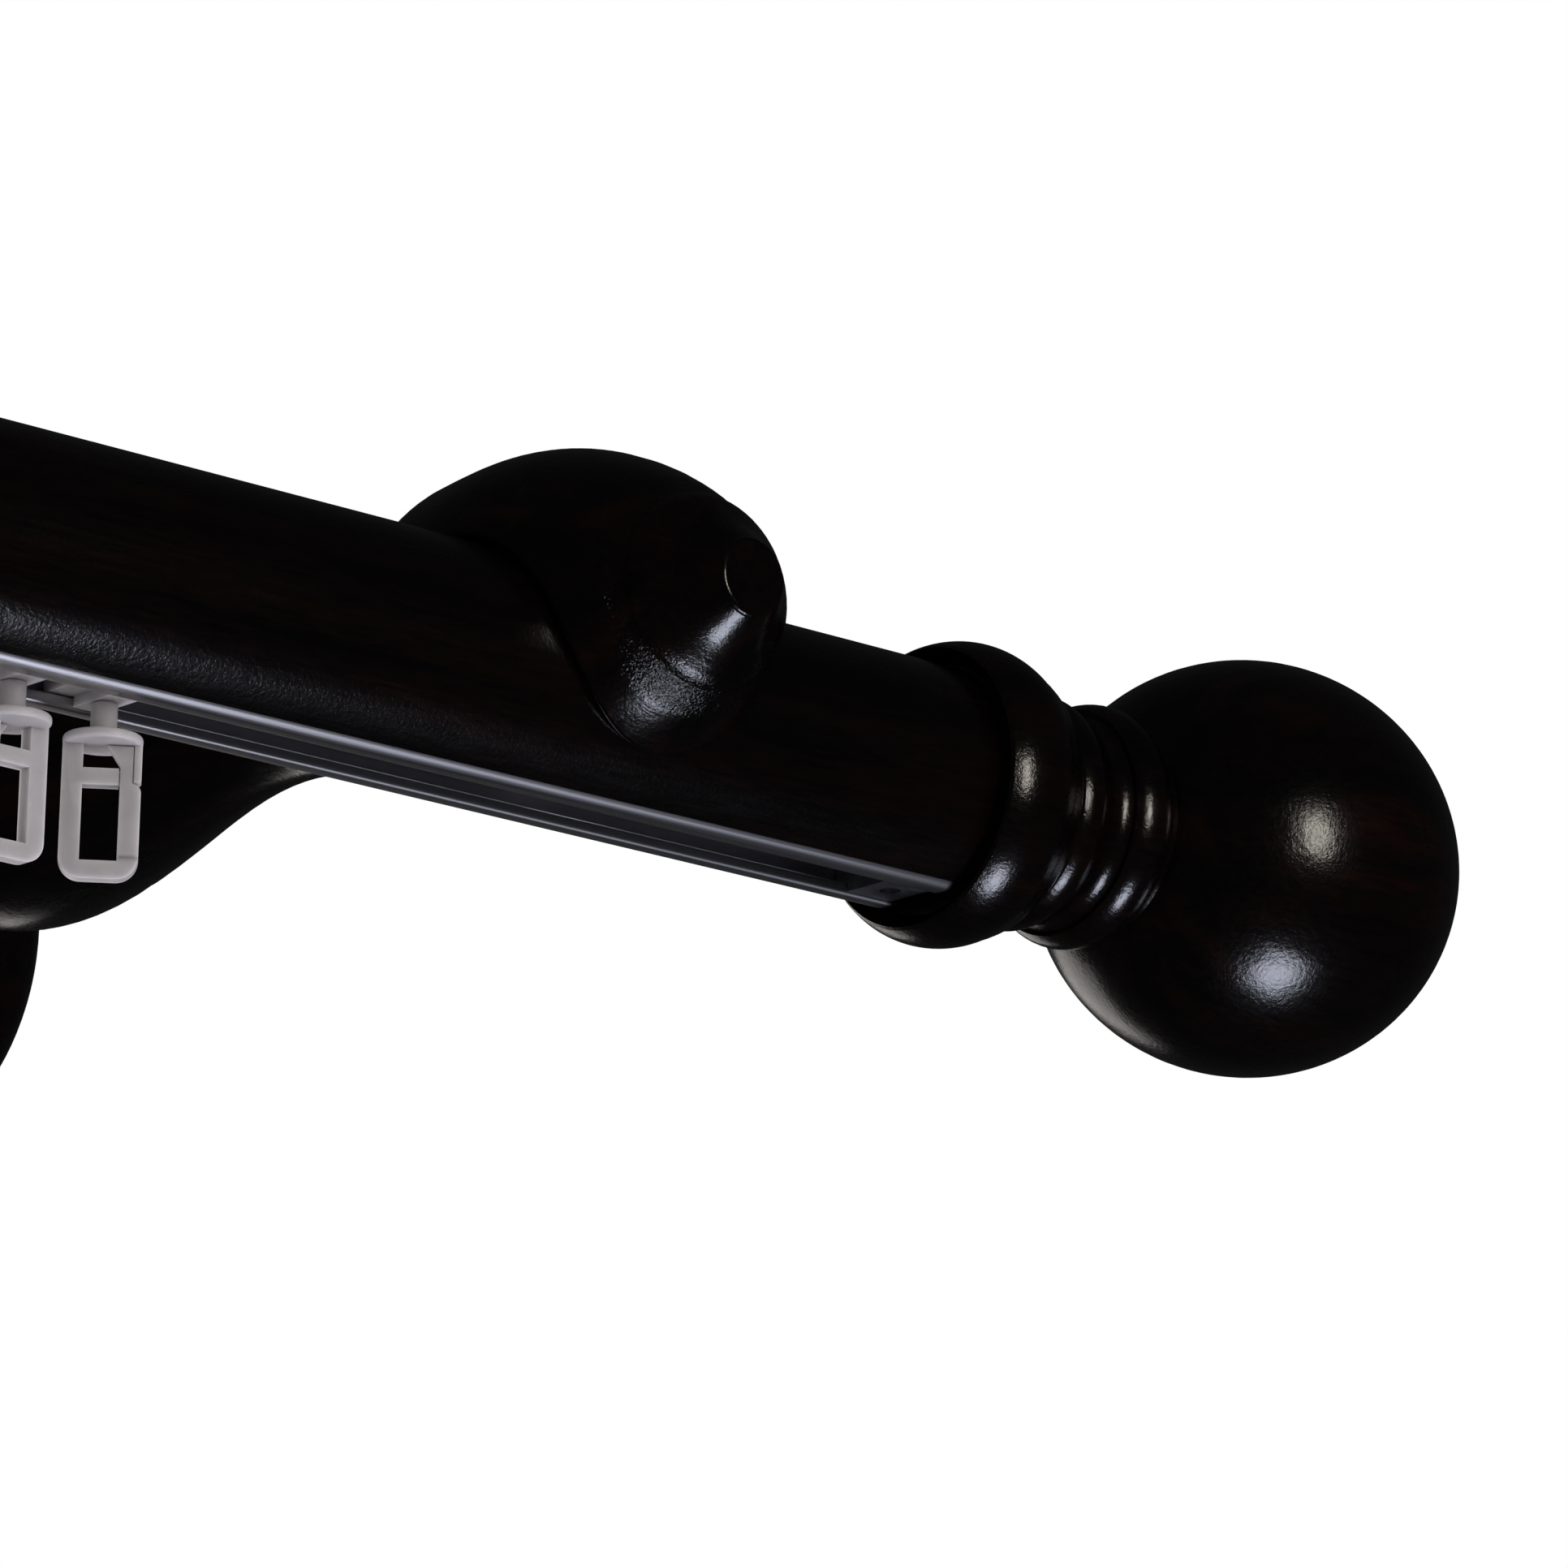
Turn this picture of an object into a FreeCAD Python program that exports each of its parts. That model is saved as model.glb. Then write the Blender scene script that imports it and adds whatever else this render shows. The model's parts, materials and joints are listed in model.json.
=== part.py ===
import FreeCAD, Part
import os
from math import pi, sin, cos
from FreeCAD import Vector

# Curtain rod on two wall brackets, with a gliding track let into its underside.
# Millimetres. X runs along the rod, the wall is the plane Y = 0 with the room at -Y, and Z is up.
# The origin is midway between the two wall plates, on the height of the bracket axes.

# ---- driving dimensions -------------------------------------------------------------------
ROD_D = 35.0
ROD_LENGTH = 1200.0
WALL_DISTANCE = 194.5          # wall to rod axis
ROD_DROP = 10.0                # bracket axis down to rod axis
BRACKET_INSET = 63.2           # rod end to bracket axis
SADDLE_GAP = 0.35              # saddle bore larger than the rod, on the radius

RAIL_W = 17.0                  # outer width of the track
RAIL_TOP = 4.7                 # rod axis down to the top of the track
RAIL_BOTTOM = 16.3             # rod axis down to the lips' undersides
RAIL_WALL = 1.5
LIP_T = 1.7
SLOT_W = 9.0
RAIL_END_GAP = 0.3             # track stops short of the rod's ends

GLIDER_X = (458.5, 444.0, 300.0, 150.0, 0.0, -150.0, -300.0, -458.5)
HOOK_TURN = (-36.0, 180.0, 0.0, 180.0, 0.0, 180.0, 0.0, 180.0)

ROSETTE_D = 93.0
ROSETTE_T = 15.0
PLATE_D = 62.0
PLATE_T = 3.0
PLATE_HOLE_D = 5.0
PLATE_HOLE_SPACING = 46.0
STUD_D = 8.0

# ---- derived places -----------------------------------------------------------------------
ROD_R = ROD_D / 2
HALF_ROD = ROD_LENGTH / 2
BRACKET_X = HALF_ROD - BRACKET_INSET
ROD_AXIS = Vector(0, -WALL_DISTANCE, -ROD_DROP)
SIDES = (("left", -1), ("right", 1))
LIP_TOP = RAIL_BOTTOM - LIP_T
CHANNEL_TOP = RAIL_TOP + RAIL_WALL
CHANNEL_W = RAIL_W - 2 * RAIL_WALL
X_DIR = Vector(1, 0, 0)
Y_DIR = Vector(0, 1, 0)
Z_DIR = Vector(0, 0, 1)


# ---- small helpers ------------------------------------------------------------------------
def block(x0, x1, y0, y1, z0, z1):
    return Part.makeBox(x1 - x0, y1 - y0, z1 - z0, Vector(x0, y0, z0))


def rod_cylinder(radius, start, end):
    """A cylinder along X on the rod's own axis, which runs through the local origin."""
    return Part.makeCylinder(radius, end - start, Vector(start, 0, 0), X_DIR)


def upright(radius, low, high):
    return Part.makeCylinder(radius, high - low, Vector(0, 0, low), Z_DIR)


def arc(start, through, end):
    return Part.Arc(Vector(*start, 0), Vector(*through, 0), Vector(*end, 0)).toShape()


def line(start, end):
    return Part.LineSegment(Vector(*start, 0), Vector(*end, 0)).toShape()


def curve(points):
    spline = Part.BSplineCurve()
    spline.interpolate([Vector(station, radius, 0) for station, radius in points])
    return spline.toShape()


def turned(edges):
    """Revolves a half outline, given as (station, radius) in the XY plane, about X."""
    wire = Part.Wire(edges)
    return Part.Face(wire).revolve(Vector(0, 0, 0), X_DIR, 360)


def moved(shape, x=0.0, y=0.0, z=0.0):
    shape = shape.copy()
    shape.translate(Vector(x, y, z))
    return shape


def placed_on_rod(shape, x=0.0):
    return moved(shape, x, ROD_AXIS.y, ROD_AXIS.z)


def faced(shape, side):
    """Turns a piece made for the right-hand end about Z, so that it serves the left-hand end."""
    shape = shape.copy()
    if side < 0:
        shape.rotate(Vector(0, 0, 0), Z_DIR, 180)
    return shape


# ---- rod and track ------------------------------------------------------------------------
DOWEL_SCREW_R = 3.0
DOWEL_SCREW_HALF = 24.0
SCREW_HEAD_R = 3.4
SCREW_HEAD_H = 1.9
RAIL_SCREW_X = (-420.0, -210.0, 0.0, 210.0, 420.0)
RAIL_SCREW_LENGTH = 14.0
RAIL_SCREW_R = 1.75
FIXING_SCREW_LENGTH = 36.0
FIXING_SCREW_R = 2.25


def rail_outline():
    """Closed section of the track in the YZ plane: a box channel with two rounded lips."""
    half = RAIL_W / 2
    slot = SLOT_W / 2
    outer = 2.0
    inner = 0.6
    bottom = -RAIL_BOTTOM
    turn_45 = sin(pi / 4)
    points = lambda *yz: [Vector(0, y, z) for y, z in yz]
    corner = points((half, bottom + outer),
                    (half - outer * (1 - turn_45), bottom + outer * (1 - turn_45)),
                    (half - outer, bottom))
    nose = points((slot + inner, bottom),
                  (slot + inner * (1 - turn_45), bottom + inner * (1 - turn_45)),
                  (slot, bottom + inner))
    inside = points((slot, -LIP_TOP), (CHANNEL_W / 2, -LIP_TOP), (CHANNEL_W / 2, -CHANNEL_TOP))
    top = Vector(0, half, -RAIL_TOP)
    flip = lambda p: Vector(0, -p.y, p.z)
    edges = []
    for side in (lambda p: p, flip):
        c = [side(p) for p in corner]
        n = [side(p) for p in nose]
        i = [side(p) for p in inside]
        edges.append(Part.LineSegment(side(top), c[0]).toShape())
        edges.append(Part.Arc(*c).toShape())
        edges.append(Part.LineSegment(c[2], n[0]).toShape())
        edges.append(Part.Arc(*n).toShape())
        edges.append(Part.LineSegment(n[2], i[0]).toShape())
        edges.append(Part.LineSegment(i[0], i[1]).toShape())
        edges.append(Part.LineSegment(i[1], i[2]).toShape())
    edges.append(Part.LineSegment(inside[2], flip(inside[2])).toShape())
    edges.append(Part.LineSegment(top, flip(top)).toShape())
    return Part.Wire(Part.__sortEdges__(edges))


def countersunk_screw(shank_r, length):
    """A countersunk wood screw standing upright: its head's flat face is at Z = 0, its point above."""
    tip = 4.0
    head = Part.makeCone(SCREW_HEAD_R, shank_r, SCREW_HEAD_H)
    shank = upright(shank_r, SCREW_HEAD_H, length - tip)
    point = Part.makeCone(shank_r, 0.3, tip, Vector(0, 0, length - tip))
    return head.fuse([shank, point]).removeSplitter()


def cross_recess():
    """The driver's cross in a screw head, cut upwards from Z = 0."""
    arm = 1.9
    slot = 0.35
    depth = 1.2
    return block(-arm, arm, -slot, slot, -1, depth).fuse(block(-slot, slot, -arm, arm, -1, depth))


def in_channel_roof(shape, x):
    return placed_on_rod(moved(shape, x, 0, -CHANNEL_TOP))


def rail_screw_bodies():
    screw = countersunk_screw(RAIL_SCREW_R, RAIL_SCREW_LENGTH)
    return [in_channel_roof(screw, x) for x in RAIL_SCREW_X]


def fixing_screw_bodies():
    screw = countersunk_screw(FIXING_SCREW_R, FIXING_SCREW_LENGTH)
    return [in_channel_roof(screw, side * BRACKET_X) for _, side in SIDES]


def with_recesses(bodies, places):
    return [body.cut(in_channel_roof(cross_recess(), x)) for body, x in zip(bodies, places)]


def make_rail():
    half = HALF_ROD - RAIL_END_GAP
    section = Part.Face(rail_outline())
    rail = moved(section, -half).extrude(Vector(2 * half, 0, 0))
    return placed_on_rod(rail).cut(rail_screw_bodies() + fixing_screw_bodies())


def make_dowel_screw(side):
    """A headless screw with a point at each end, half in the rod and half in the finial."""
    tip = 5.0
    half = DOWEL_SCREW_HALF
    shank = rod_cylinder(DOWEL_SCREW_R, -half + tip, half - tip)
    right = Part.makeCone(DOWEL_SCREW_R, 0.4, tip, Vector(half - tip, 0, 0), X_DIR)
    left = Part.makeCone(DOWEL_SCREW_R, 0.4, tip, Vector(tip - half, 0, 0), -X_DIR)
    return placed_on_rod(shank.fuse([left, right]).removeSplitter(), side * HALF_ROD)


def make_rod():
    bar = rod_cylinder(ROD_R, -HALF_ROD, HALF_ROD)
    groove = block(-HALF_ROD - 1, HALF_ROD + 1, -RAIL_W / 2, RAIL_W / 2, -ROD_R - 1, -RAIL_TOP)
    dowels = [make_dowel_screw(side) for _, side in SIDES]
    rod = placed_on_rod(bar.cut(groove))
    return rod.cut(rail_screw_bodies() + fixing_screw_bodies() + dowels)


# ---- end stops ----------------------------------------------------------------------------
STOP_LENGTH = 8.0
STOP_CLEAR = 0.15
GRUB_R = 1.5
GRUB_LENGTH = 6.0


def stop_x(side):
    return side * (HALF_ROD - RAIL_END_GAP - STOP_LENGTH / 2 - 2.5)


def make_grub(side):
    """A grub screw that jams the stop in the channel, its hexagon socket facing down."""
    grub = upright(GRUB_R, 0, GRUB_LENGTH)
    socket_r = 0.85
    corners = [Vector(socket_r * cos(k * pi / 3), socket_r * sin(k * pi / 3), 0) for k in range(6)]
    socket = Part.Face(Part.makePolygon(corners + corners[:1])).extrude(Vector(0, 0, 1.5))
    low = -LIP_TOP + 0.6
    return placed_on_rod(moved(grub.cut(socket), stop_x(side), 0, low))


def make_end_stop(side):
    half = STOP_LENGTH / 2
    wide = CHANNEL_W / 2 - STOP_CLEAR
    narrow = SLOT_W / 2 - STOP_CLEAR
    body = block(-half, half, -wide, wide, -LIP_TOP, -CHANNEL_TOP)
    nose = block(-half, half, -narrow, narrow, -RAIL_BOTTOM + 0.5, -LIP_TOP + 1)
    bore = upright(GRUB_R, -RAIL_BOTTOM, -CHANNEL_TOP)
    stop = body.fuse(nose).removeSplitter().cut(bore)
    return placed_on_rod(stop, stop_x(side))


# ---- finials ------------------------------------------------------------------------------
DISH_DEPTH = 2.5               # the collar's face is hollowed this deep, down to the rod's end
DISH_FLOOR_R = 17.8
BALL_X = 63.0                  # collar face to ball centre
BALL_R = 30.0
BALL_HALF_LENGTH = 31.6        # the ball is turned a little longer than round


def ball_edge(start_radius):
    """The ball's outline from where the neck's fillet meets it, round to its pole on the axis."""
    ellipse = Part.Ellipse(Vector(BALL_X, 0, 0), BALL_HALF_LENGTH, BALL_R)
    along = BALL_HALF_LENGTH * (1 - (start_radius / BALL_R) ** 2) ** 0.5
    start = ellipse.parameter(Vector(BALL_X - along, start_radius, 0))
    return Part.Edge(ellipse, 0, start), (BALL_X - along, start_radius)


def finial_outline():
    """Half outline of the turned finial, counted from the collar's face: collar, cove, beads and ball."""
    fillet_r = 15.2
    ball, ball_start = ball_edge(fillet_r)
    return [
        line((DISH_DEPTH, 0), (DISH_DEPTH, DISH_FLOOR_R)),
        line((DISH_DEPTH, DISH_FLOOR_R), (0.1, 19.9)),
        line((0.1, 19.9), (0.5, 20.3)),
        arc((0.5, 20.3), (6.2, 21.7), (12.0, 20.1)),
        arc((12.0, 20.1), (14.6, 18.7), (16.4, 16.5)),
        line((16.4, 16.5), (17.2, 16.5)),
        arc((17.2, 16.5), (20.0, 16.9), (22.2, 15.8)),
        arc((22.2, 15.8), (24.6, 14.8), (27.0, 15.6)),
        line((27.0, 15.6), (27.0, 16.3)),
        arc((27.0, 16.3), (30.6, 17.6), (34.0, 16.3)),
        line((34.0, 16.3), (34.0, fillet_r)),
        line((34.0, fillet_r), ball_start),
        ball,
        line((BALL_X + BALL_HALF_LENGTH, 0), (DISH_DEPTH, 0)),
    ]


def make_finial(side):
    finial = faced(turned(finial_outline()), side)
    return placed_on_rod(finial, side * (HALF_ROD - DISH_DEPTH)).cut(make_dowel_screw(side))


# ---- brackets -----------------------------------------------------------------------------
# Stations along a bracket are counted from the rod's axis towards the wall.
KNOB_FRONT = -36.4
ARM_FOOT = WALL_DISTANCE - ROSETTE_T
TENON_R = 11.0
TENON_END = WALL_DISTANCE - PLATE_T - 1.0
INSERT_R = 6.0
INSERT_LENGTH = 26.0
SADDLE_EDGE = 0.8              # rounding round the saddle's mouth
BULB_UNDERSIDE = 18.8          # bracket axis down to the flat under the bulb, behind the rod


def arm_outline():
    """The turned arm: disc and knob, groove, saddle bulb, long neck, rear bulb, foot, tenon."""
    return [
        line((KNOB_FRONT, 0), (KNOB_FRONT, 4.9)),
        arc((KNOB_FRONT, 4.9), (KNOB_FRONT + 0.2, 5.3), (KNOB_FRONT + 0.7, 5.6)),
        curve([(KNOB_FRONT + 0.7, 5.6), (-34.2, 6.8), (-31.6, 9.0), (-29.6, 11.3), (-27.9, 13.0),
               (-26.6, 13.6)]),
        line((-26.6, 13.6), (-26.3, 13.2)),
        curve([(-26.3, 13.2), (-24.8, 14.2), (-22.8, 16.1), (-19.6, 18.3), (-16.6, 20.0),
               (-12.7, 21.8), (-8.7, 23.3), (-4.0, 24.5), (4.0, 25.2), (11.0, 24.8), (16.1, 24.2),
               (30.9, 17.4), (44.8, 11.7), (60.6, 8.7), (77.5, 9.8), (94.3, 13.5), (110.2, 17.0),
               (123.0, 18.5), (135.9, 17.2), (145.8, 13.5)]),
        line((145.8, 13.5), (145.8, 12.5)),
        arc((145.8, 12.5), (152.7, 10.8), (159.7, 12.3)),
        line((159.7, 12.3), (159.7, 13.7)),
        arc((159.7, 13.7), (163.6, 15.4), (167.6, 14.3)),
        arc((167.6, 14.3), (173.6, 15.7), (ARM_FOOT, 19.8)),
        line((ARM_FOOT, 19.8), (ARM_FOOT, TENON_R)),
        line((ARM_FOOT, TENON_R), (TENON_END, TENON_R)),
        line((TENON_END, TENON_R), (TENON_END, 0)),
        line((TENON_END, 0), (KNOB_FRONT, 0)),
    ]


def along_y(shape, side):
    """Turns a piece made about X so that its stations run towards the wall on one bracket's axis."""
    shape = shape.copy()
    shape.rotate(Vector(0, 0, 0), Z_DIR, 90)
    return moved(shape, side * BRACKET_X, -WALL_DISTANCE, 0)


def make_insert(side):
    """Threaded sleeve screwed into the foot of the arm; the stud's thread is drawn as a plain bore."""
    start = TENON_END - INSERT_LENGTH
    sleeve = rod_cylinder(INSERT_R, start, TENON_END).cut(rod_cylinder(STUD_D / 2, start, TENON_END))
    flange = 1.0
    ribs = [rod_cylinder(INSERT_R + 0.7, start + k, start + k + flange) for k in range(4, 22, 4)]
    ribs = [rib.cut(rod_cylinder(INSERT_R - 0.5, 0, WALL_DISTANCE)) for rib in ribs]
    return along_y(sleeve.fuse(ribs).removeSplitter(), side)


def make_stud(side):
    """Threaded stud from the wall plate into the arm's insert."""
    start = TENON_END - INSERT_LENGTH + 3.0
    chamfer = 0.8
    shank = rod_cylinder(STUD_D / 2, start + chamfer, WALL_DISTANCE)
    tip = Part.makeCone(STUD_D / 2 - chamfer, STUD_D / 2, chamfer, Vector(start, 0, 0), X_DIR)
    return along_y(shank.fuse(tip).removeSplitter(), side)


def make_saddle_tool(side):
    length = 80.0
    radius = ROD_R + SADDLE_GAP
    tool = rod_cylinder(radius, -length / 2, length / 2)
    return placed_on_rod(tool, side * BRACKET_X)


def saddle_edges(arm):
    """The edges where the saddle's bore breaks the surface of the bulb."""
    radius = ROD_R + SADDLE_GAP
    found = []
    for edge in arm.Edges:
        samples = [edge.valueAt(edge.FirstParameter + f * (edge.LastParameter - edge.FirstParameter))
                   for f in (0.1, 0.37, 0.61, 0.9)]
        off = [abs(((p.y - ROD_AXIS.y) ** 2 + (p.z - ROD_AXIS.z) ** 2) ** 0.5 - radius) for p in samples]
        if max(off) < 0.01:
            found.append(edge)
    return found


def underside_trim(side):
    """What is planed off the bulb behind the rod, so that nothing hangs below the track."""
    half = 30.0
    return along_y(block(0, 40, -half, half, -half, -BULB_UNDERSIDE), side)


def make_arm(side):
    arm = along_y(turned(arm_outline()), side).cut(make_saddle_tool(side))
    arm = arm.makeFillet(SADDLE_EDGE, saddle_edges(arm)).cut(underside_trim(side))
    start = TENON_END - INSERT_LENGTH
    stud_bore = along_y(rod_cylinder(STUD_D / 2 + 0.2, start - 4, TENON_END), side)
    return arm.cut([make_insert(side), stud_bore] + fixing_screw_bodies())


def rosette_outline():
    """Half outline of the wooden wall rosette, open through the middle for the arm's tenon."""
    front = ARM_FOOT
    wall = WALL_DISTANCE
    edge = ROSETTE_D / 2
    recess = wall - PLATE_T - 0.5
    recess_r = PLATE_D / 2 + 0.5
    bore = TENON_R + 0.1
    return [
        line((front, bore), (front, 26.0)),
        arc((front, 26.0), (front + 0.6, 27.4), (front + 2.0, 28.0)),
        line((front + 2.0, 28.0), (front + 2.0, 36.0)),
        arc((front + 2.0, 36.0), (front + 5.2, edge - 3.2), (front + 13.0, edge)),
        line((front + 13.0, edge), (wall, edge)),
        line((wall, edge), (wall, recess_r)),
        line((wall, recess_r), (recess, recess_r)),
        line((recess, recess_r), (recess, bore)),
        line((recess, bore), (front, bore)),
    ]


def make_rosette(side):
    return along_y(turned(rosette_outline()), side)


def make_wall_plate(side):
    """Steel disc with two wall screw holes, one above the other, and the stud in its centre."""
    start = WALL_DISTANCE - PLATE_T
    plate = rod_cylinder(PLATE_D / 2, start, WALL_DISTANCE)
    plate = plate.cut(rod_cylinder(STUD_D / 2, start, WALL_DISTANCE))
    plate = along_y(plate, side)
    for up in (-1, 1):
        hole = Vector(side * BRACKET_X, -PLATE_T, up * PLATE_HOLE_SPACING / 2)
        plate = plate.cut(Part.makeCylinder(PLATE_HOLE_D / 2, PLATE_T, hole, Y_DIR))
    return plate


# ---- gliders and hooks --------------------------------------------------------------------
# Each is made about the rod's axis with the hook's face along X, then turned and moved to place.
RUNNER_LENGTH = 11.0
RUNNER_T = 2.4
RUNNER_CLEAR = 0.2
NECK_LENGTH = 3.8
PIN_R = 1.4
PIN_CLEAR = 0.06
STEM_R = 1.75
SNAP_R = 2.2
SNAP_H = 0.9

HOOK_TOP = 20.3                # rod axis down to the top of the hook's disc
HOOK_H = 19.2
HOOK_W = 10.3
HOOK_T = 2.2
DISC_R = 5.2
DISC_T = 1.3
LEG_W = 2.7
LATCH_W = 2.75
LATCH_GAP = 0.15
LATCH_SHOULDER = 1.2
BOTTOM_BAR = 2.4
HOOK_CORNER = 2.9
WINDOW_TOP = HOOK_TOP + DISC_T
CROSSBAR_TOP = HOOK_TOP + 4.5
CROSSBAR_H = 2.2
TONGUE_TOP = HOOK_TOP + DISC_T + 0.2
GUARD_BOTTOM = HOOK_TOP + 6.3
GUARD_W = 1.0
GUARD_END_R = 0.45
TONGUE_LEAN = 1.8              # how far the tongue's top leans over the upper window
HINGE_DEPTH = HOOK_TOP + HOOK_H - BOTTOM_BAR - 1.2


def in_place(shape, index):
    shape = shape.copy()
    shape.rotate(Vector(0, 0, 0), Z_DIR, HOOK_TURN[index])
    return placed_on_rod(shape, GLIDER_X[index])


def make_runner(index):
    """T-shaped runner: its head rests on the track's lips and its neck stands in the slot."""
    seat = -LIP_TOP + RUNNER_CLEAR
    wide = CHANNEL_W / 2 - 0.5
    narrow = SLOT_W / 2 - RUNNER_CLEAR
    half = RUNNER_LENGTH / 2
    head = block(-half, half, -wide, wide, seat, seat + RUNNER_T)
    head = head.makeFillet(0.7, [e for e in head.Edges if abs(e.tangentAt(e.FirstParameter).z) > 0.9])
    neck = block(-NECK_LENGTH / 2, NECK_LENGTH / 2, -narrow, narrow, -RAIL_BOTTOM + 0.4, seat + 1)
    bore = upright(PIN_R + PIN_CLEAR, -RAIL_BOTTOM - 2, seat + RUNNER_T + 1)
    return placed_on_rod(head.fuse(neck).removeSplitter().cut(bore), GLIDER_X[index])


def loop_plate():
    """The hook's flat loop before its latch side is cut away, with rounded lower corners."""
    half = HOOK_W / 2
    low = -HOOK_TOP - HOOK_H
    plate = block(-half, half, -HOOK_T / 2, HOOK_T / 2, low, -HOOK_TOP - DISC_T / 2)
    lower = [e for e in plate.Edges
             if abs(e.tangentAt(e.FirstParameter).y) > 0.9 and e.CenterOfMass.z < low + 0.1]
    return plate.makeFillet(HOOK_CORNER, lower)


def latch_blank(grow):
    """The latch side of the loop as one solid, made bigger all round by grow where it needs room."""
    half = HOOK_W / 2
    inner = half - LATCH_W
    thick = HOOK_T / 2
    outer = half - GUARD_W - LATCH_GAP
    wide = block(inner - grow, half + grow, -thick - grow, thick + grow,
                 -HINGE_DEPTH, -GUARD_BOTTOM - LATCH_GAP + grow)
    corners = [(inner - grow, -GUARD_BOTTOM - 1.5), (inner - grow, -CROSSBAR_TOP + 0.2),
               (inner - TONGUE_LEAN - grow, -TONGUE_TOP + grow), (outer + grow, -TONGUE_TOP + grow),
               (outer + grow, -GUARD_BOTTOM - 1.5)]
    points = [Vector(x, -thick - grow, z) for x, z in corners]
    tongue = Part.Face(Part.makePolygon(points + points[:1])).extrude(Vector(0, thick + 2 * grow, 0))
    knuckle = Part.makeCylinder(thick + grow, LATCH_W + 2 * grow,
                                Vector(inner - grow, 0, -HINGE_DEPTH), X_DIR)
    return wide.fuse([tongue, knuckle]).removeSplitter()


def make_hook(index):
    """Swivelling hook: pin, stem, disc, long leg, foot, crossbar and the catch tab of the latch."""
    half = HOOK_W / 2
    inner = half - LATCH_W
    left_inner = -half + LEG_W
    loop = loop_plate()
    deep = HOOK_T
    lower_window = block(left_inner, inner, -deep, deep, -HOOK_TOP - HOOK_H + BOTTOM_BAR,
                         -CROSSBAR_TOP - CROSSBAR_H)
    upper_window = block(left_inner, inner, -deep, deep, -CROSSBAR_TOP, -WINDOW_TOP)
    loop = loop.cut([lower_window, upper_window]).cut(latch_blank(LATCH_GAP))
    guard_end = [e for e in loop.Edges if abs(e.tangentAt(e.FirstParameter).y) > 0.9
                 and e.CenterOfMass.x > half - 0.1 and abs(e.CenterOfMass.z + GUARD_BOTTOM) < 0.1]
    loop = loop.makeFillet(GUARD_END_R, guard_end)
    disc = upright(DISC_R, -HOOK_TOP - DISC_T, -HOOK_TOP)
    disc = disc.makeFillet(0.5, disc.Edges[:1] + disc.Edges[2:3])
    seat_top = -LIP_TOP + RUNNER_CLEAR + RUNNER_T
    stem = upright(STEM_R, -HOOK_TOP - 0.5, -RAIL_BOTTOM + 0.25)
    pin = upright(PIN_R, -RAIL_BOTTOM, seat_top + 0.15 + SNAP_H)
    snap = Part.makeCone(SNAP_R, PIN_R, SNAP_H, Vector(0, 0, seat_top + 0.15))
    hook = loop.fuse([disc, stem, pin, snap]).removeSplitter()
    return in_place(hook, index)


def make_latch(index):
    """Springy side of the hook's loop; it bends forwards, off the catch tab, to open the loop."""
    latch = latch_blank(0.0)
    shoulder = [e for e in latch.Edges if abs(e.tangentAt(e.FirstParameter).y) > 0.9
                and e.CenterOfMass.x > HOOK_W / 2 - 0.1 and e.CenterOfMass.z > -GUARD_BOTTOM - 1]
    return in_place(latch.makeFillet(LATCH_SHOULDER, shoulder), index)


# ---- writing the parts --------------------------------------------------------------------
def write(name, shapes):
    solids = [solid for shape in shapes for solid in shape.Solids]
    bad = [solid for solid in solids if not solid.isValid()]
    if bad or not solids:
        raise ValueError(f"{name}: {len(bad)} bad of {len(solids)} solids")
    shape = solids[0] if len(solids) == 1 else Part.makeCompound(solids)
    shape.exportStep(f"parts/{name}.step")


def main():
    os.makedirs("parts", exist_ok=True)
    write("rod", [make_rod()])
    write("track_rail", [make_rail()])
    write("rail_screws", with_recesses(rail_screw_bodies(), RAIL_SCREW_X))
    write("rod_fixing_screws", with_recesses(fixing_screw_bodies(), (-BRACKET_X, BRACKET_X)))
    write("end_stop_screws", [make_grub(side) for _, side in SIDES])
    for name, side in SIDES:
        write(f"end_stop_{name}", [make_end_stop(side)])
        write(f"finial_{name}", [make_finial(side)])
        write(f"finial_screw_{name}", [make_dowel_screw(side)])
        write(f"bracket_arm_{name}", [make_arm(side)])
        write(f"arm_insert_{name}", [make_insert(side)])
        write(f"wall_stud_{name}", [make_stud(side)])
        write(f"wall_plate_{name}", [make_wall_plate(side)])
        write(f"rosette_{name}", [make_rosette(side)])
    for index in range(len(GLIDER_X)):
        number = f"{index + 1:02d}"
        write(f"glider_{number}", [make_runner(index)])
        write(f"hook_{number}", [make_hook(index)])
        write(f"hook_latch_{number}", [make_latch(index)])


main()
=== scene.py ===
import json
from math import asin, cos, pi, radians, sin, tau

import bmesh
import bpy
from mathutils import Matrix, Vector


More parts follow.
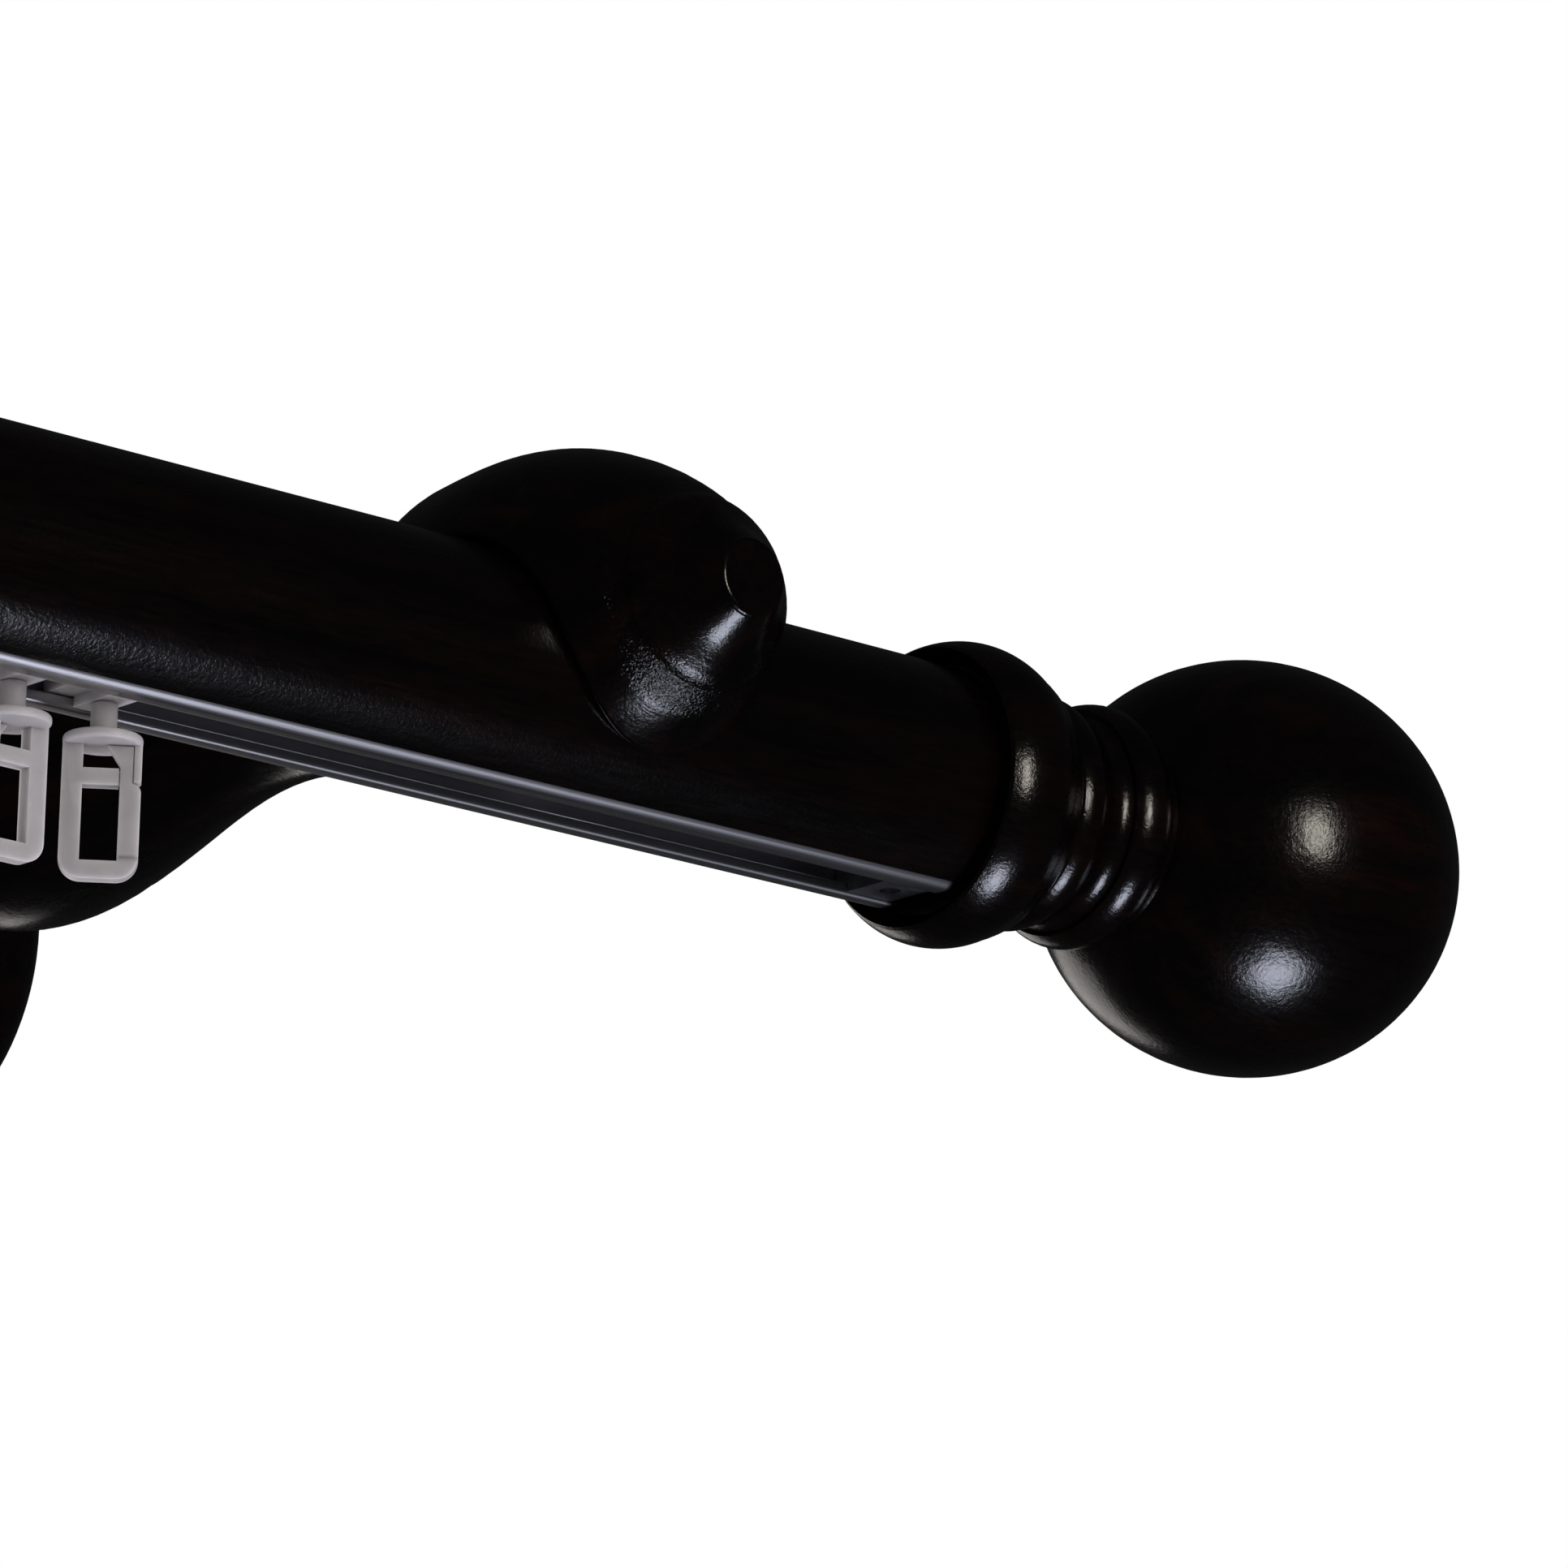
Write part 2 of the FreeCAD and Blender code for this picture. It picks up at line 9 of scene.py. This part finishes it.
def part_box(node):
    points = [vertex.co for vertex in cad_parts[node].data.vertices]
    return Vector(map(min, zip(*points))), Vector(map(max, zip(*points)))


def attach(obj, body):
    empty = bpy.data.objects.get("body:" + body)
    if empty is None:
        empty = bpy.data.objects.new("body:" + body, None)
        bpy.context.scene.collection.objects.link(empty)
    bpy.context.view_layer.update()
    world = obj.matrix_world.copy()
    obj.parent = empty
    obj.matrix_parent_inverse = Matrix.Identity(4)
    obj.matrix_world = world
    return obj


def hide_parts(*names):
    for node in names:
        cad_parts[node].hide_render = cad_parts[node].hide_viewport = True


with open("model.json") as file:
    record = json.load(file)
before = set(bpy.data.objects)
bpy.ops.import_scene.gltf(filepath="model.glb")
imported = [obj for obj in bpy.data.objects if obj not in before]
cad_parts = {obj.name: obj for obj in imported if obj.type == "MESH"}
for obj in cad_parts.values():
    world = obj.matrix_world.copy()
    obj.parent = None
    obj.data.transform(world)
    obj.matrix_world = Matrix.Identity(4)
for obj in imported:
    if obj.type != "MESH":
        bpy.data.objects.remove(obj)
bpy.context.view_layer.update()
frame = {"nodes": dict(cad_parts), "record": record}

scene = bpy.context.scene
MM = 0.001

# ---- places read from the frame -----------------------------------------------------------
finial_low, finial_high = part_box("finial_right")
rod_low, rod_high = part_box("rod")
rail_low, rail_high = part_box("track_rail")
ROD_Y = (finial_low.y + finial_high.y) / 2
ROD_Z = (finial_low.z + finial_high.z) / 2
ROD_R = (rod_high.y - rod_low.y) / 2
COLLAR = Vector((finial_low.x, ROD_Y, ROD_Z))
BALL_R = (finial_high.y - finial_low.y) / 2
BALL = Vector((finial_high.x - BALL_R, ROD_Y, ROD_Z))
KNOB_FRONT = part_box("bracket_arm_right")[0].y
SLOTS = {part["node"]: part["material_slot"] for part in frame["record"]["subparts"]}

# ---- camera -------------------------------------------------------------------------------
CAMERA_AZIMUTH = radians(40.15)
CAMERA_ELEVATION = radians(15.27)
CAMERA_ROLL = radians(1.35)
CAMERA_DISTANCE = 1.237
CAMERA_LEFT = 0.01838
CAMERA_UP = 0.0004
SENSOR_MM = 36.0
LENS_MM = 203.8


def view_axes():
    """The camera's forward, right and up directions in the frame."""
    forward = Vector((cos(CAMERA_ELEVATION) * sin(CAMERA_AZIMUTH),
                      cos(CAMERA_ELEVATION) * cos(CAMERA_AZIMUTH),
                      sin(CAMERA_ELEVATION)))
    level = Vector((cos(CAMERA_AZIMUTH), -sin(CAMERA_AZIMUTH), 0))
    upright = level.cross(forward)
    right = cos(CAMERA_ROLL) * level + sin(CAMERA_ROLL) * upright
    up = cos(CAMERA_ROLL) * upright - sin(CAMERA_ROLL) * level
    return forward, right, up


FORWARD, RIGHT, UP = view_axes()


def make_camera():
    data = bpy.data.cameras.new("camera")
    data.sensor_width = SENSOR_MM
    data.lens = LENS_MM
    data.clip_start = 0.05
    data.clip_end = 60
    camera = bpy.data.objects.new("camera", data)
    place = COLLAR - CAMERA_DISTANCE * FORWARD - CAMERA_LEFT * RIGHT + CAMERA_UP * UP
    turn = Matrix((RIGHT, UP, -FORWARD)).transposed().to_4x4()
    camera.matrix_world = Matrix.Translation(place) @ turn
    scene.collection.objects.link(camera)
    scene.camera = camera


# ---- lights, backdrop and floor -----------------------------------------------------------
FLOOR_Z = -0.95
FLOOR_SIZE = 60.0


def soft_light(name, toward, distance, size, radiance, color):
    """A rectangular softbox facing the ball finial; toward is its direction in camera axes."""
    across, above, nearer = Vector(toward).normalized()
    direction = across * RIGHT + above * UP - nearer * FORWARD
    data = bpy.data.lights.new(name, "AREA")
    data.shape = "RECTANGLE"
    data.size, data.size_y = size
    data.energy = radiance * pi * size[0] * size[1]
    data.color = color
    light = bpy.data.objects.new(name, data)
    light.matrix_world = (Matrix.Translation(BALL + distance * direction)
                          @ direction.to_track_quat("Z", "Y").to_matrix().to_4x4())
    light.visible_camera = False
    scene.collection.objects.link(light)


def make_lights():
    soft_light("softbox_upper", (0.65, 0.30, 0.70), 2.4, (0.42, 0.80), 12.0, (1.0, 0.94, 0.84))
    soft_light("softbox_lower", (0.27, -0.85, 0.46), 0.9, (0.30, 0.28), 12.0, (0.80, 0.84, 1.0))
    soft_light("panel_behind", (-0.54, -0.46, -0.86), 1.6, (0.85, 0.70), 0.9, (1.0, 0.95, 0.92))


def make_world():
    """White to the camera, soft grey to the floor and to matt surfaces, nearly black in gloss."""
    world = bpy.data.worlds.new("studio")
    world.use_nodes = True
    nodes = world.node_tree.nodes
    links = world.node_tree.links
    seen = nodes["Background"]
    seen.inputs["Color"].default_value = (1, 1, 1, 1)
    seen.inputs["Strength"].default_value = 1.0
    fill = nodes.new("ShaderNodeBackground")
    fill.inputs["Color"].default_value = (1.0, 0.98, 0.99, 1)
    fill.inputs["Strength"].default_value = 0.7
    dark = nodes.new("ShaderNodeBackground")
    dark.inputs["Color"].default_value = (0.9, 0.92, 1.0, 1)
    dark.inputs["Strength"].default_value = 0.012
    path = nodes.new("ShaderNodeLightPath")
    by_gloss = nodes.new("ShaderNodeMixShader")
    by_camera = nodes.new("ShaderNodeMixShader")
    links.new(path.outputs["Is Glossy Ray"], by_gloss.inputs["Fac"])
    links.new(fill.outputs["Background"], by_gloss.inputs[1])
    links.new(dark.outputs["Background"], by_gloss.inputs[2])
    links.new(path.outputs["Is Camera Ray"], by_camera.inputs["Fac"])
    links.new(by_gloss.outputs["Shader"], by_camera.inputs[1])
    links.new(seen.outputs["Background"], by_camera.inputs[2])
    links.new(by_camera.outputs["Shader"], nodes["World Output"].inputs["Surface"])
    scene.world = world


def make_floor():
    """A pale studio floor far below the object, kept out of the lacquer's reflections."""
    mesh = bmesh.new()
    bmesh.ops.create_grid(mesh, x_segments=8, y_segments=8, size=FLOOR_SIZE / 2)
    data = bpy.data.meshes.new("floor")
    mesh.to_mesh(data)
    mesh.free()
    floor = bpy.data.objects.new("floor", data)
    floor.location.z = FLOOR_Z
    floor.visible_glossy = False
    floor.visible_shadow = False
    shader = Shader("pale_floor")
    cloud = shader.noise(shader.coordinates, 3.0)
    shader.feed("Base Color", shader.ramp(cloud, ((0.3, (0.84, 0.84, 0.85)), (0.7, (0.88, 0.88, 0.89)))))
    shader.constants(Roughness=0.8)
    data.materials.append(shader.material)
    scene.collection.objects.link(floor)


# ---- material helpers ---------------------------------------------------------------------
class Shader:
    """A material's nodes: each helper adds one node and returns the output that is used."""

    def __init__(self, name):
        self.material = bpy.data.materials.new(name)
        self.material.use_nodes = True
        self.nodes = self.material.node_tree.nodes
        self.links = self.material.node_tree.links
        self.surface = self.nodes["Principled BSDF"]
        self.coordinates = self.nodes.new("ShaderNodeTexCoord").outputs["Object"]

    def constants(self, **values):
        for name, value in values.items():
            self.surface.inputs[name.replace("_", " ")].default_value = value

    def feed(self, name, output):
        self.links.new(output, self.surface.inputs[name])

    def stretched(self, scale):
        """Coordinates with each axis multiplied, which stretches a pattern along the small ones."""
        mapping = self.nodes.new("ShaderNodeMapping")
        mapping.inputs["Scale"].default_value = scale
        self.links.new(self.coordinates, mapping.inputs["Vector"])
        return mapping.outputs["Vector"]

    def noise(self, vector, scale, detail=4.0, roughness=0.55, distortion=0.0):
        node = self.nodes.new("ShaderNodeTexNoise")
        node.inputs["Scale"].default_value = scale
        node.inputs["Detail"].default_value = detail
        node.inputs["Roughness"].default_value = roughness
        node.inputs["Distortion"].default_value = distortion
        self.links.new(vector, node.inputs["Vector"])
        return node.outputs["Fac"]

    def ramp(self, factor, stops):
        """A colour ramp; stops are (position, colour) pairs."""
        node = self.nodes.new("ShaderNodeValToRGB")
        elements = node.color_ramp.elements
        while len(elements) < len(stops):
            elements.new(0.5)
        for element, (position, color) in zip(elements, stops):
            element.position = position
            element.color = (*color, 1)
        self.links.new(factor, node.inputs["Fac"])
        return node.outputs["Color"]

    def spread(self, factor, low, high, start=0.0, end=1.0):
        """A factor between start and end spread over the values low to high."""
        node = self.nodes.new("ShaderNodeMapRange")
        node.inputs["From Min"].default_value = start
        node.inputs["From Max"].default_value = end
        node.inputs["To Min"].default_value = low
        node.inputs["To Max"].default_value = high
        self.links.new(factor, node.inputs["Value"])
        return node.outputs["Result"]

    def product(self, first, second):
        node = self.nodes.new("ShaderNodeMath")
        node.operation = "MULTIPLY"
        self.links.new(first, node.inputs[0])
        self.links.new(second, node.inputs[1])
        return node.outputs[0]

    def mixed(self, factor, first, second, blend="MIX"):
        node = self.nodes.new("ShaderNodeMix")
        node.data_type = "RGBA"
        node.blend_type = blend
        node.inputs[0].default_value = factor
        self.links.new(first, node.inputs[6])
        self.links.new(second, node.inputs[7])
        return node.outputs[2]

    def bump(self, height, strength, distance, normal=None):
        node = self.nodes.new("ShaderNodeBump")
        node.inputs["Strength"].default_value = strength
        node.inputs["Distance"].default_value = distance
        self.links.new(height, node.inputs["Height"])
        if normal is not None:
            self.links.new(normal, node.inputs["Normal"])
        return node.outputs["Normal"]


# ---- materials ----------------------------------------------------------------------------
# Pattern scales are in features per metre, bump heights in metres.
STAIN_BANDS = 140.0
WOOD_FIBRES = 1500.0
LACQUER_DUST = 1500.0
LACQUER_PEEL = 300.0
TURNING_RINGS = 1500.0
DRAWN_OUT = 0.1                # how much a pattern is stretched along the grain
BAND_GRAINS = 1900.0
BAND_START = 9.6 * MM          # front of the bracket's disc to where its unpolished band is full
BAND_END = 12.6 * MM
BAND_FADE = 2.5 * MM
DIE_LINES = 3200.0
MOULD_CLOUDS = 350.0
MOULD_SKIN = 2400.0
METAL_CLOUDS = 220.0
METAL_MARKS = 2600.0


def grain_scale(axis):
    """Mapping that draws a pattern out ten times along the grain's axis."""
    return tuple(DRAWN_OUT if name == axis else 1.0 for name in "xyz")


def across_only(axis):
    """Mapping that keeps a pattern the same all round a turned piece's axis."""
    return tuple(1.0 if name == axis else 0.02 for name in "xyz")


def unpolished_band(s):
    """Coarse grains left in the lacquer round the shoulder behind each bracket's disc."""
    split = s.nodes.new("ShaderNodeSeparateXYZ")
    s.links.new(s.coordinates, split.inputs["Vector"])
    front = KNOB_FRONT + BAND_START
    back = KNOB_FRONT + BAND_END
    rise = s.spread(split.outputs["Y"], 0.0, 1.0, front - BAND_FADE, front)
    fall = s.spread(split.outputs["Y"], 1.0, 0.0, back, back + BAND_FADE)
    grains = s.noise(s.coordinates, BAND_GRAINS, detail=2.0, roughness=0.7)
    return s.product(grains, s.product(rise, fall))


def wood(name, axis, turned=True):
    """Near-black stained wood under glossy lacquer, with its grain along one axis."""
    s = Shader(name)
    along = s.stretched(grain_scale(axis))
    bands = s.noise(along, STAIN_BANDS, detail=5.0, roughness=0.6, distortion=0.6)
    fibres = s.noise(along, WOOD_FIBRES, detail=3.0, roughness=0.6)
    stain = s.ramp(bands, ((0.30, (0.0007, 0.0005, 0.0005)),
                           (0.55, (0.0028, 0.0010, 0.0008)),
                           (0.78, (0.0085, 0.0022, 0.0013))))
    streaks = s.ramp(fibres, ((0.35, (0.5, 0.5, 0.5)), (0.70, (1.0, 1.0, 1.0))))
    s.feed("Base Color", s.mixed(1.0, stain, streaks, "MULTIPLY"))
    s.feed("Roughness", s.spread(fibres, 0.24, 0.36, 0.3, 0.7))
    dust = s.noise(s.coordinates, LACQUER_DUST, detail=3.0, roughness=0.7)
    peel = s.noise(s.coordinates, LACQUER_PEEL, detail=2.0)
    lacquer = s.bump(dust, 0.45, 0.00011, s.bump(peel, 0.12, 0.0002))
    if turned:
        rings = s.noise(s.stretched(across_only(axis)), TURNING_RINGS, detail=2.0)
        lacquer = s.bump(rings, 0.22, 0.00008, lacquer)
    if axis == "y":
        lacquer = s.bump(unpolished_band(s), 1.0, 0.00020, lacquer)
    s.feed("Normal", s.bump(fibres, 0.2, 0.00003, lacquer))
    s.feed("Coat Normal", lacquer)
    s.constants(Coat_Weight=0.9, Coat_Roughness=0.13, Coat_IOR=1.5, Specular_IOR_Level=0.07)
    return s.material


def aluminium():
    """Satin anodised extrusion with fine die lines along the track."""
    s = Shader("aluminium")
    lines = s.noise(s.stretched((0.004, 1.0, 1.0)), DIE_LINES, detail=3.0, roughness=0.7)
    cloud = s.noise(s.stretched((0.1, 1.0, 1.0)), 90.0, detail=3.0)
    s.feed("Base Color", s.ramp(cloud, ((0.3, (0.46, 0.45, 0.46)), (0.7, (0.54, 0.53, 0.54)))))
    s.feed("Roughness", s.spread(lines, 0.30, 0.42, 0.3, 0.7))
    s.feed("Normal", s.bump(lines, 0.25, 0.00005))
    s.constants(Metallic=1.0)
    return s.material


def plated(name, color, rough):
    """Plated or plain metal with fine turning marks and slight clouding."""
    s = Shader(name)
    cloud = s.noise(s.coordinates, METAL_CLOUDS, detail=4.0)
    fine = s.noise(s.coordinates, METAL_MARKS, detail=2.0)
    darker = tuple(0.75 * c for c in color)
    s.feed("Base Color", s.ramp(cloud, ((0.3, darker), (0.7, color))))
    s.feed("Roughness", s.spread(cloud, rough - 0.06, rough + 0.1, 0.3, 0.7))
    s.feed("Normal", s.bump(fine, 0.15, 0.00004))
    s.constants(Metallic=1.0)
    return s.material


def milky_plastic():
    """Translucent moulded plastic with faint flow clouds."""
    s = Shader("glider_plastic")
    cloud = s.noise(s.coordinates, MOULD_CLOUDS, detail=4.0, distortion=0.4)
    skin = s.noise(s.coordinates, MOULD_SKIN, detail=2.0)
    s.feed("Base Color", s.ramp(cloud, ((0.3, (0.37, 0.355, 0.37)), (0.7, (0.42, 0.405, 0.415)))))
    s.feed("Roughness", s.spread(cloud, 0.30, 0.44, 0.3, 0.7))
    s.feed("Normal", s.bump(skin, 0.12, 0.00003))
    s.constants(Subsurface_Weight=1.0, Subsurface_Radius=(1.0, 0.95, 0.9), Subsurface_Scale=0.0028,
                IOR=1.5)
    return s.material


MATERIALS = {
    "aluminium": aluminium(),
    "screw_steel": plated("screw_steel", (0.62, 0.61, 0.58), 0.28),
    "plate_steel": plated("plate_steel", (0.55, 0.55, 0.53), 0.34),
    "end_stop_zinc": plated("end_stop_zinc", (0.34, 0.34, 0.35), 0.42),
    "brass": plated("brass", (0.72, 0.52, 0.24), 0.30),
    "glider_plastic": milky_plastic(),
}
TURNED_WOOD = {"finial": wood("turned_wood_x", "x"), "bracket_arm": wood("turned_wood_y", "y")}
TURNED_WOOD["rosette"] = TURNED_WOOD["bracket_arm"]
ROD_WOOD = wood("rod_wood", "x", turned=False)


def finish_of(node):
    """The material of a CAD node: wood by the way its piece was turned, the rest by its slot."""
    if SLOTS[node] == "wood":
        return TURNED_WOOD.get(node.rsplit("_", 1)[0], ROD_WOOD)
    return MATERIALS[SLOTS[node]]


def finish_cad_nodes():
    for node, piece in frame["nodes"].items():
        piece.data.materials.clear()
        piece.data.materials.append(finish_of(node))


# ---- rod and track ------------------------------------------------------------------------
RAIL_WALL = 1.5 * MM
LIP_T = 1.7 * MM
SLOT_HALF = 4.5 * MM
OUTER_CORNER = 2.0 * MM
LIP_NOSE = 0.6 * MM
INNER_CORNER = 0.3 * MM
RAIL_HALF = (rail_high.y - rail_low.y) / 2
RAIL_TOP = rail_high.z - ROD_Z
RAIL_BOTTOM = rail_low.z - ROD_Z
ARC_STEPS = 10
ROD_STEPS = 240
STATIONS = 60
SHARP = radians(35)


def arc_points(centre, radius, start, end, steps):
    """Points along an arc in the YZ plane, from one angle to another."""
    turns = [start + (end - start) * k / steps for k in range(steps + 1)]
    return [(centre[0] + radius * cos(t), centre[1] + radius * sin(t)) for t in turns]


def swept(name, section, low_x, high_x):
    """A closed section in the YZ plane about the rod's axis, swept along X with plain ends."""
    mesh = bmesh.new()
    rings = []
    for k in range(STATIONS + 1):
        x = low_x + (high_x - low_x) * k / STATIONS
        rings.append([mesh.verts.new((x, ROD_Y + y, ROD_Z + z)) for y, z in section])
    count = len(section)
    for near, far in zip(rings, rings[1:]):
        for k in range(count):
            after = (k + 1) % count
            mesh.faces.new((near[k], near[after], far[after], far[k]))
    mesh.faces.new(rings[0])
    mesh.faces.new(rings[-1])
    bmesh.ops.recalc_face_normals(mesh, faces=mesh.faces)
    data = bpy.data.meshes.new(name)
    mesh.to_mesh(data)
    mesh.free()
    piece = bpy.data.objects.new(name, data)
    scene.collection.objects.link(piece)
    return piece


def smooth(data):
    data.shade_smooth()
    data.set_sharp_from_angle(angle=SHARP)


def make_rod():
    """The round rod with the track's groove along its underside."""
    mouth = asin(RAIL_HALF / ROD_R)
    section = arc_points((0, 0), ROD_R, mouth - pi / 2, 1.5 * pi - mouth, ROD_STEPS)
    section += [(-RAIL_HALF, RAIL_TOP), (RAIL_HALF, RAIL_TOP)]
    rod = swept("wooden_rod", section, rod_low.x, rod_high.x)
    smooth(rod.data)
    rod.data.materials.append(ROD_WOOD)
    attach(rod, "root")
    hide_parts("rod")


def half_rail_section():
    """The track's section on the +Y side, from the middle of its roof inside to the middle outside."""
    inside = RAIL_HALF - RAIL_WALL
    roof = RAIL_TOP - RAIL_WALL
    lip = RAIL_BOTTOM + LIP_T
    points = arc_points((inside - INNER_CORNER, roof - INNER_CORNER), INNER_CORNER,
                        pi / 2, 0, ARC_STEPS)
    points += arc_points((inside - INNER_CORNER, lip + INNER_CORNER), INNER_CORNER,
                         0, -pi / 2, ARC_STEPS)
    points += arc_points((SLOT_HALF + INNER_CORNER, lip - INNER_CORNER), INNER_CORNER,
                         pi / 2, pi, ARC_STEPS)
    points += arc_points((SLOT_HALF + LIP_NOSE, RAIL_BOTTOM + LIP_NOSE), LIP_NOSE,
                         pi, 1.5 * pi, ARC_STEPS)
    points += arc_points((RAIL_HALF - OUTER_CORNER, RAIL_BOTTOM + OUTER_CORNER), OUTER_CORNER,
                         1.5 * pi, tau, ARC_STEPS)
    return points + [(RAIL_HALF, RAIL_TOP)]


def drill_countersinks(rail):
    """Cuts each screw head's seat through the roof of the track."""
    for node in ("rail_screws", "rod_fixing_screws"):
        cutter = frame["nodes"][node].copy()
        cutter.data = cutter.data.copy()
        scene.collection.objects.link(cutter)
        seat = rail.modifiers.new(node, "BOOLEAN")
        seat.operation = "DIFFERENCE"
        seat.solver = "EXACT"
        seat.object = cutter
        graph = bpy.context.evaluated_depsgraph_get()
        cut = bpy.data.meshes.new_from_object(rail.evaluated_get(graph))
        rail.modifiers.clear()
        rail.data = cut
        bpy.data.objects.remove(cutter)


def make_rail():
    right = half_rail_section()
    left = [(-y, z) for y, z in reversed(right)]
    rail = swept("aluminium_track", right + left, rail_low.x, rail_high.x)
    drill_countersinks(rail)
    smooth(rail.data)
    rail.data.materials.append(MATERIALS["aluminium"])
    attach(rail, "root")
    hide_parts("track_rail")


# ---- hooks --------------------------------------------------------------------------------
MOULD_EDGE = 0.28 * MM


def moulded_copy(node, body):
    """A moulded plastic piece: the CAD shape with every sharp edge rounded, as a mould leaves it."""
    source = frame["nodes"][node]
    mesh = bmesh.new()
    mesh.from_mesh(source.data)
    bmesh.ops.remove_doubles(mesh, verts=mesh.verts, dist=0.001 * MM)
    bmesh.ops.dissolve_limit(mesh, angle_limit=radians(2), verts=mesh.verts, edges=mesh.edges)
    data = bpy.data.meshes.new(f"moulded_{node}")
    mesh.to_mesh(data)
    mesh.free()
    piece = bpy.data.objects.new(f"moulded_{node}", data)
    scene.collection.objects.link(piece)
    rounding = piece.modifiers.new("rounding", "BEVEL")
    rounding.width = MOULD_EDGE
    rounding.segments = 3
    rounding.limit_method = "ANGLE"
    rounding.angle_limit = radians(40)
    graph = bpy.context.evaluated_depsgraph_get()
    rounded = bpy.data.meshes.new_from_object(piece.evaluated_get(graph))
    piece.modifiers.clear()
    piece.data = rounded
    smooth(rounded)
    rounded.materials.clear()
    rounded.materials.append(MATERIALS["glider_plastic"])
    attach(piece, body)
    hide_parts(node)


def make_hooks():
    for node in sorted(frame["nodes"]):
        if node.startswith("hook_"):
            moulded_copy(node, node)


make_camera()
make_world()
make_lights()
make_floor()
finish_cad_nodes()
make_rod()
make_rail()
make_hooks()

scene.view_settings.view_transform = "Standard"
